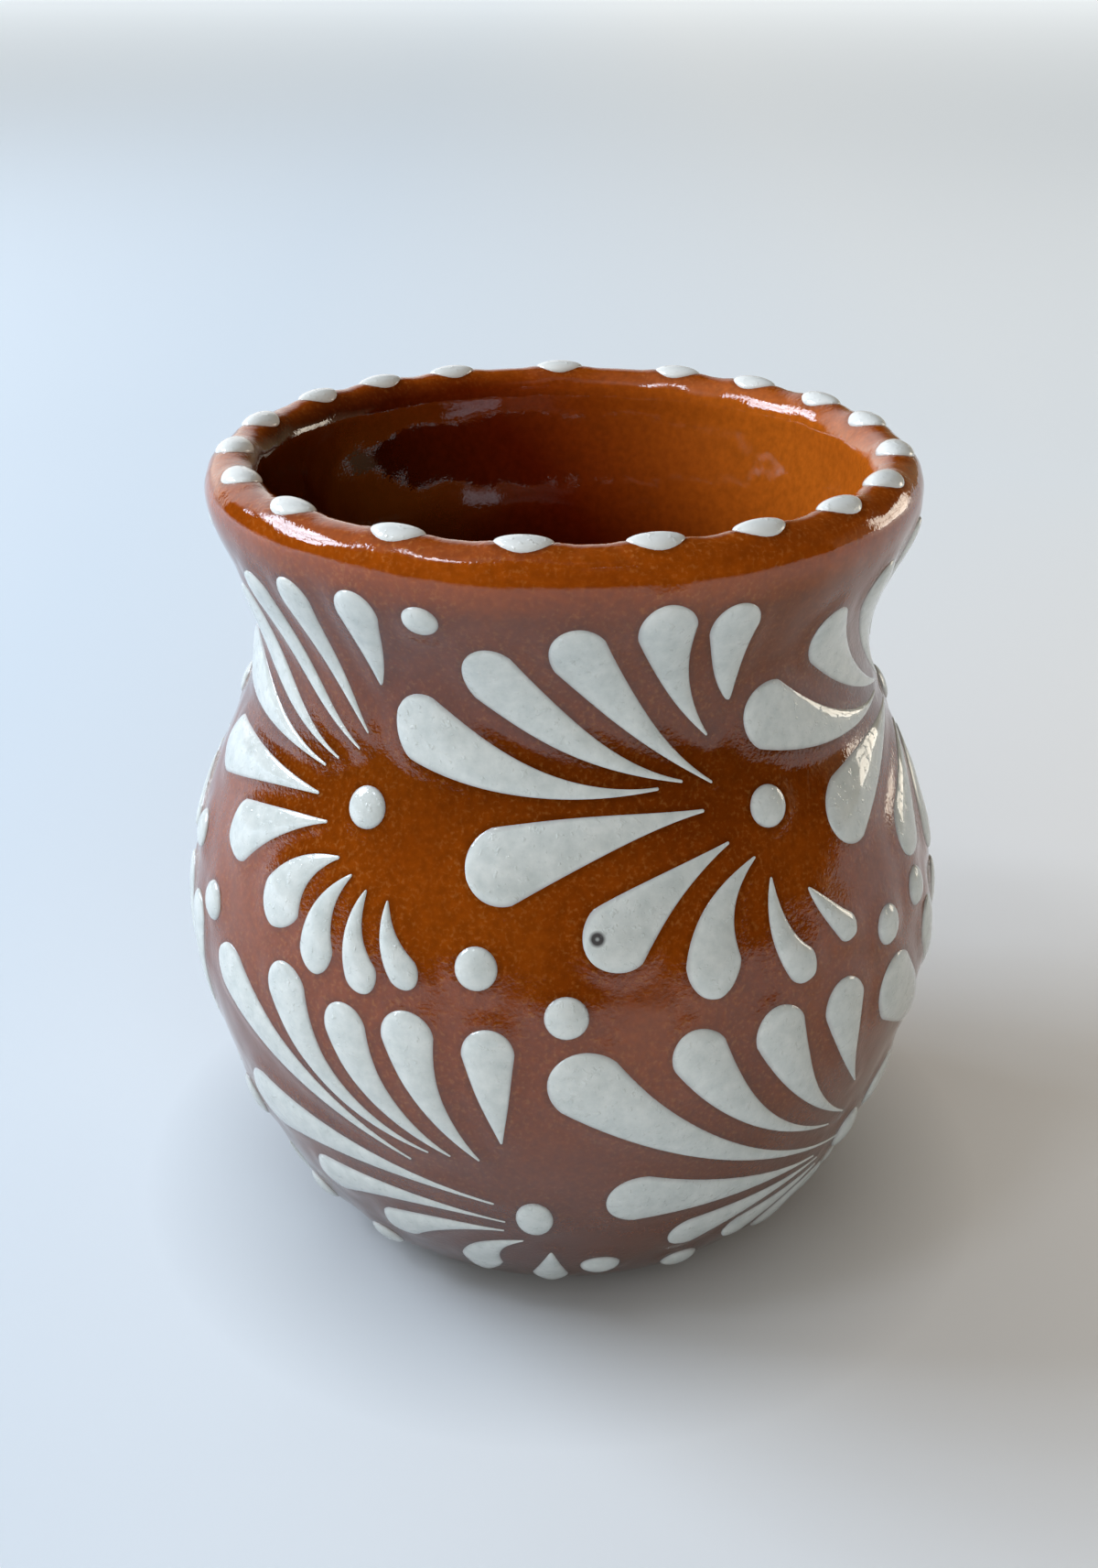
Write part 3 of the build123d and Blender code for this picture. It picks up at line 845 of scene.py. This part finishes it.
white_slip, tree, surface = new_material("clear_glaze_on_white_slip")
place = add_node(tree, "ShaderNodeTexCoord").outputs["Object"]
height = add_node(tree, "ShaderNodeSeparateXYZ", {"Vector": place}).outputs["Z"]
edge = add_node(tree, "ShaderNodeAttribute", attribute_name="edge").outputs["Fac"]
mottle = add_node(
    tree,
    "ShaderNodeTexNoise",
    {"Vector": place, "Scale": 1 / (MOTTLE_SIZE * MM), "Detail": 5.0, "Roughness": 0.65},
)
speck = add_node(
    tree, "ShaderNodeTexNoise", {"Vector": place, "Scale": 1 / (BLISTER_SIZE * MM), "Detail": 2.0}
)
swell = add_node(tree, "ShaderNodeTexNoise", {"Vector": place, "Scale": 1 / (SWELL_SIZE * MM), "Detail": 1.0})
coat = add_node(
    tree,
    "ShaderNodeMix",
    {0: mottle.outputs["Fac"], 6: colour(SLIP_DARK), 7: colour(SLIP_LIGHT)},
    data_type="RGBA",
)
thin = add_node(
    tree,
    "ShaderNodeMapRange",
    {"Value": edge, "From Min": EDGE_FROM, "From Max": 1.0, "To Min": 0.0, "To Max": EDGE_SHARE},
)
coat = add_node(
    tree, "ShaderNodeMix", {0: thin.outputs[0], 6: coat.outputs[2], 7: colour(SLIP_EDGE)}, data_type="RGBA"
)
# The slip is darker towards the foot.
darker_low = add_node(
    tree,
    "ShaderNodeMapRange",
    {
        "Value": height,
        "From Min": LOW_DARK_HEIGHTS[0] * MM,
        "From Max": LOW_DARK_HEIGHTS[1] * MM,
        "To Min": LOW_DARK_SHADE,
        "To Max": 1.0,
    },
)
coat = add_node(
    tree,
    "ShaderNodeMix",
    {0: 1.0, 6: coat.outputs[2], 7: darker_low.outputs[0]},
    data_type="RGBA",
    blend_type="MULTIPLY",
)
# The slip is whiter on the lip.
whiter_on_lip = add_node(
    tree,
    "ShaderNodeMapRange",
    {
        "Value": height,
        "From Min": LIP_WHITE_HEIGHTS[0] * MM,
        "From Max": LIP_WHITE_HEIGHTS[1] * MM,
        "To Min": 0.0,
        "To Max": LIP_WHITE_SHARE,
    },
)
coat = add_node(
    tree,
    "ShaderNodeMix",
    {0: whiter_on_lip.outputs[0], 6: coat.outputs[2], 7: colour(SLIP_ON_LIP)},
    data_type="RGBA",
)
burst_turn = radians(BURST_FLOWER + BURST_PLACE[0] / STRIP_GIRTH * 360)
burst_length = (UPPER_CENTRE + BURST_PLACE[1]) * WALL_LENGTH / STRIP_HEIGHT
burst_centre = on_wall(burst_turn, burst_length, BURST_LIFT)
apart = add_node(tree, "ShaderNodeVectorMath", {0: place, 1: burst_centre}, operation="DISTANCE")
from_ring = add_node(
    tree, "ShaderNodeMath", {0: apart.outputs["Value"], 1: BURST_RADIUS * MM}, operation="SUBTRACT"
)
from_ring = add_node(tree, "ShaderNodeMath", {0: from_ring.outputs[0]}, operation="ABSOLUTE")
burst = add_node(
    tree,
    "ShaderNodeMapRange",
    {
        "Value": from_ring.outputs[0],
        "From Min": BURST_WIDTHS[0] * MM,
        "From Max": BURST_WIDTHS[1] * MM,
        "To Min": BURST_SHARE,
        "To Max": 0.0,
    },
)
coat = add_node(
    tree,
    "ShaderNodeMix",
    {0: burst.outputs[0], 6: coat.outputs[2], 7: colour(BURST_COLOUR)},
    data_type="RGBA",
)
blister = add_node(
    tree,
    "ShaderNodeMapRange",
    {
        "Value": speck.outputs["Fac"],
        "From Min": BLISTER_RANGE[0],
        "From Max": BLISTER_RANGE[1],
        "To Max": 1.0,
    },
)
swollen = add_node(
    tree, "ShaderNodeBump", {"Strength": 0.6, "Distance": SWELL_DEPTH * MM, "Height": swell.outputs["Fac"]}
)
ripple = add_node(
    tree,
    "ShaderNodeBump",
    {
        "Strength": 0.6,
        "Distance": BLISTER_DEPTH * MM,
        "Height": blister.outputs[0],
        "Normal": swollen.outputs[0],
    },
)
shader = add_node(
    tree,
    "ShaderNodeBsdfPrincipled",
    {
        "Base Color": coat.outputs[2],
        "Roughness": SLIP_ROUGHNESS,
        "IOR": SLIP_IOR,
        "Normal": ripple.outputs[0],
    },
)
tree.links.new(shader.outputs[0], surface)
for piece in slip_pieces:
    piece.data.materials.append(white_slip)

# Floor and backdrop: a plain sheet of matt white card under the mug, with painted light on it, cool at the
# window's side and warm at the other, and pale paper on a roll far round it. Distances are in metres.
FLOOR_REACH = 6.0
BACKDROP_RADIUS = 3.9
BACKDROP_HEIGHT = 6.0
BACKDROP_SIDES = 96
BACKDROP_COLOUR = "#E4E9EC"
# Painted light on the card: cool at the window's side, warm at the other.
CARD_COOL = "#DAE6EF"
CARD_WARM = "#F0F2F0"
# Painted light: the colours of the card's glow, near at the left, near at the right and far off.
GLOW_COOL = "#DDEBF8"
GLOW_WARM = "#FFCF80"
GLOW_FAR_TINT = "#E9EFF2"
CARD_ROUGHNESS = 0.8
WARM_ACROSS = (-0.12, 0.15)
FAR_REACH = (0.13, 0.35)
# Painted shadow round the mug's foot: the card's colour is darker there and its glow is left out.
FOOT_SHADE = 0.5
FOOT_SHADE_REACH = (0.02, 0.055)
GLOW = (0.13, 0.8)
GLOW_REACH = (0.4, 4.0)

sheet = bmesh.new()
bmesh.ops.create_grid(sheet, x_segments=2, y_segments=2, size=FLOOR_REACH)
floor = placed_object(sheet, "pale_sheet")

# Matt card scatters nearly all light and has hardly any shine. It also glows, to the eye and in reflections:
# painted light, brighter with distance as in a bright room, cool at the left and warm at the right, and none
# round the mug's foot, where its colour is darker too, a painted shadow.
pale_card, tree, surface = new_material("matt_white_card")
place = add_node(tree, "ShaderNodeTexCoord").outputs["Object"]
sideways = add_node(tree, "ShaderNodeSeparateXYZ", {"Vector": place}).outputs["X"]
apart = add_node(tree, "ShaderNodeVectorMath", {0: place}, operation="LENGTH").outputs["Value"]
warmth = add_node(
    tree,
    "ShaderNodeMapRange",
    {"Value": sideways, "From Min": WARM_ACROSS[0], "From Max": WARM_ACROSS[1]},
)
# Painted shadow round the mug's foot: its colour darker and its glow left out.
under = add_node(
    tree,
    "ShaderNodeMapRange",
    {"Value": apart, "From Min": FOOT_SHADE_REACH[0], "From Max": FOOT_SHADE_REACH[1]},
)
near = add_node(
    tree, "ShaderNodeMapRange", {"Value": under.outputs[0], "To Min": FOOT_SHADE, "To Max": 1.0}
)
far = add_node(
    tree, "ShaderNodeMapRange", {"Value": apart, "From Min": FAR_REACH[0], "From Max": FAR_REACH[1]}
)
depth = add_node(
    tree,
    "ShaderNodeMapRange",
    {
        "Value": apart,
        "From Min": GLOW_REACH[0],
        "From Max": GLOW_REACH[1],
        "To Min": GLOW[0],
        "To Max": GLOW[1],
    },
)
# Painted light: the card's colour runs from cool at the window's side to warm at the other.
card = add_node(
    tree,
    "ShaderNodeMix",
    {0: warmth.outputs[0], 6: colour(CARD_COOL), 7: colour(CARD_WARM)},
    data_type="RGBA",
)
card = add_node(
    tree,
    "ShaderNodeMix",
    {0: 1.0, 6: card.outputs[2], 7: near.outputs[0]},
    data_type="RGBA",
    blend_type="MULTIPLY",
)
# Painted light: the card's glow, cool at the left, warm at the right and paler far off.
painted_glow = add_node(
    tree,
    "ShaderNodeMix",
    {0: warmth.outputs[0], 6: colour(GLOW_COOL), 7: colour(GLOW_WARM)},
    data_type="RGBA",
)
painted_glow = add_node(
    tree, "ShaderNodeMix", {0: far.outputs[0], 6: painted_glow.outputs[2], 7: colour(GLOW_FAR_TINT)}, data_type="RGBA"
)
seen = add_node(tree, "ShaderNodeLightPath").outputs
shown = seen["Is Camera Ray"]
for ray in ("Is Glossy Ray", "Is Transmission Ray"):
    shown = add_node(tree, "ShaderNodeMath", {0: shown, 1: seen[ray]}, operation="ADD").outputs[0]
for share in (depth, under):
    shown = add_node(tree, "ShaderNodeMath", {0: shown, 1: share.outputs[0]}, operation="MULTIPLY").outputs[0]
shader = add_node(
    tree,
    "ShaderNodeBsdfPrincipled",
    {
        "Base Color": card.outputs[2],
        "Roughness": CARD_ROUGHNESS,
        "Emission Color": painted_glow.outputs[2],
        "Emission Strength": shown,
    },
)
tree.links.new(shader.outputs[0], surface)
floor.data.materials.append(pale_card)

roll = bmesh.new()
bmesh.ops.create_cone(
    roll,
    segments=BACKDROP_SIDES,
    radius1=BACKDROP_RADIUS,
    radius2=BACKDROP_RADIUS,
    depth=BACKDROP_HEIGHT,
)
backdrop = placed_object(roll, "pale_backdrop")
backdrop.visible_diffuse = False
backdrop.visible_glossy = False
backdrop.visible_shadow = False

# Evenly lit pale paper is one flat tone to the eye. It is kept out of the mug's light and reflections.
paper_roll, tree, surface = new_material("pale_paper_roll")
paper = add_node(tree, "ShaderNodeEmission", {"Color": colour(BACKDROP_COLOUR)})
tree.links.new(paper.outputs[0], surface)
backdrop.data.materials.append(paper_roll)

# Dark card: black felt on a long board that stands round the left and the front, out of view.
# Only reflections show it, so the glaze keeps its deep orange there. It fades out at its top and its foot.
# Each place along it has its two coordinates and its height, and each row its share of that and its fade.
CARD_LINE = (
    (-1.4, 1.1, 0.9),
    (-1.4, 0.3, 1.5),
    (-1.35, -0.3, 1.5),
    (-0.9, -0.5, 1.2),
    (-0.4, -0.32, 0.9),
    (0.0, -0.28, 0.9),
    (3.0, -0.04, 0.9),
)
CARD_ROWS = ((0.0, 1.0), (0.05, 0.0), (0.6, 0.0), (1.0, 1.0))
CARD_FOOT = 0.001
FELT_COLOUR = "#0C0706"

board = bmesh.new()
fade_layer = board.verts.layers.float.new("fade")
rows = []
for share, clearness in CARD_ROWS:
    row = [board.verts.new((x, y, CARD_FOOT + share * top)) for x, y, top in CARD_LINE]
    for vert in row:
        vert[fade_layer] = clearness
    rows.append([board.edges.new(pair) for pair in zip(row, row[1:])])
for low, high in zip(rows, rows[1:]):
    bmesh.ops.bridge_loops(board, edges=low + high)
dark_card = placed_object(board, "dark_card")
dark_card.visible_camera = False
dark_card.visible_diffuse = False
dark_card.visible_shadow = False

# Felt is a matt nap that swallows light and gives nothing back.
black_felt, tree, surface = new_material("black_felt")
fade = add_node(tree, "ShaderNodeAttribute", attribute_name="fade").outputs["Fac"]
felt = add_node(tree, "ShaderNodeBsdfDiffuse", {"Color": colour(FELT_COLOUR)})
clear = add_node(tree, "ShaderNodeBsdfTransparent")
faded = add_node(tree, "ShaderNodeMixShader", {0: fade, 1: felt.outputs[0], 2: clear.outputs[0]})
tree.links.new(faded.outputs[0], surface)
dark_card.data.materials.append(black_felt)

# Light: a large window at the left, a small one in the roof, a warm one low at the right and a small one
# in front, in a dim warm room with a pale wall at the left, in front and far behind.
# A pale wall has its direction, how near to that its glow starts, its colour and its strength.
WINDOW_AIM = Vector((0, 0, 0.06))
PANE_SHARE = (0.9, 0.92)
ROOM_COLOUR = "#978465"
ROOM_RISE = (0.05, 0.4)
ROOM_ABOVE = 0.06
WALL_FULL = 0.95
PALE_WALLS = (
    ((-0.87, 0.12, 0.47), 0.35, "#899097", 1.0),
    ((-0.3, -0.9, 0.3), 0.45, "#ECEEF0", 1.0),
    ((-0.42, 0.88, 0.2), 0.8, "#F8FBFF", 1.06),
)


def window(name, place, width, height, panes, glow, tint):
    """A window that faces the mug: rows of panes with dark bars between them."""
    aim = (WINDOW_AIM - Vector(place)).to_track_quat("-Z", "Y")
    for column in range(panes[0]):
        for row in range(panes[1]):
            lamp = bpy.data.lights.new(name, "AREA")
            lamp.shape = "RECTANGLE"
            lamp.size = width / panes[0] * PANE_SHARE[0]
            lamp.size_y = height / panes[1] * PANE_SHARE[1]
            lamp.energy = glow * pi * lamp.size * lamp.size_y
            lamp.color = colour(tint)[:3]
            pane = bpy.data.objects.new(name, lamp)
            shift_x = (column + 0.5) / panes[0] - 0.5
            shift_y = (row + 0.5) / panes[1] - 0.5
            pane.location = Vector(place) + aim @ Vector((shift_x * width, shift_y * height, 0))
            pane.rotation_euler = aim.to_euler()
            bpy.context.scene.collection.objects.link(pane)


window("left_window", (-1.06, 0.24, 0.78), 0.8, 0.5, (4, 2), 13.5, "#E2EEFF")
window("roof_window", (-0.62, -0.5, 1.2), 0.22, 0.16, (2, 1), 16.0, "#EEF3FF")
window("right_window", (0.95, 0.55, 0.2), 0.4, 0.36, (3, 2), 5.0, "#FFF4E2")
window("far_window", (0.07, -0.3, 0.36), 0.07, 0.08, (2, 2), 2.2, "#F6F4FF")

world = bpy.data.worlds.new("pale_room")
world.use_nodes = True
tree = world.node_tree
tree.nodes.clear()
toward = add_node(tree, "ShaderNodeTexCoord").outputs["Generated"]
upward = add_node(tree, "ShaderNodeSeparateXYZ", {"Vector": toward}).outputs["Z"]
low_down = add_node(
    tree,
    "ShaderNodeMapRange",
    {
        "Value": upward,
        "From Min": ROOM_RISE[0],
        "From Max": ROOM_RISE[1],
        "To Min": 1.0,
        "To Max": ROOM_ABOVE,
    },
)
room = add_node(
    tree, "ShaderNodeBackground", {"Color": colour(ROOM_COLOUR), "Strength": low_down.outputs[0]}
)
for way, spread, tint, strength in PALE_WALLS:
    facing = add_node(tree, "ShaderNodeVectorMath", {0: toward, 1: way}, operation="DOT_PRODUCT")
    beam = add_node(
        tree,
        "ShaderNodeMapRange",
        {"Value": facing.outputs["Value"], "From Min": spread, "From Max": WALL_FULL, "To Max": strength},
        interpolation_type="SMOOTHSTEP",
    )
    wash = add_node(tree, "ShaderNodeBackground", {"Color": colour(tint), "Strength": beam.outputs[0]})
    room = add_node(tree, "ShaderNodeAddShader", {0: room.outputs[0], 1: wash.outputs[0]})
add_node(tree, "ShaderNodeOutputWorld", {"Surface": room.outputs[0]})
bpy.context.scene.world = world
bpy.context.scene.view_settings.view_transform = "Standard"

# Camera: it looks down on the mug from close in front. Its lens is 2000 pixels long over a picture that is
# 1713 pixels high.
LENS_PIXELS = 2000
PICTURE_PIXELS = 1713
SENSOR = 36.0
LOOK_DOWN = 25.64
LOOK_LEFT = 0.48
CAMERA_PLACE = (0, -0.20176, 0.15036)
NEAREST = 0.01

camera = bpy.data.objects.new("camera", bpy.data.cameras.new("camera"))
camera.data.sensor_width = SENSOR
camera.data.lens = LENS_PIXELS / PICTURE_PIXELS * SENSOR
camera.data.clip_start = NEAREST
camera.location = CAMERA_PLACE
camera.rotation_euler = (radians(90 - LOOK_DOWN), 0, radians(LOOK_LEFT))
bpy.context.scene.collection.objects.link(camera)
bpy.context.scene.camera = camera
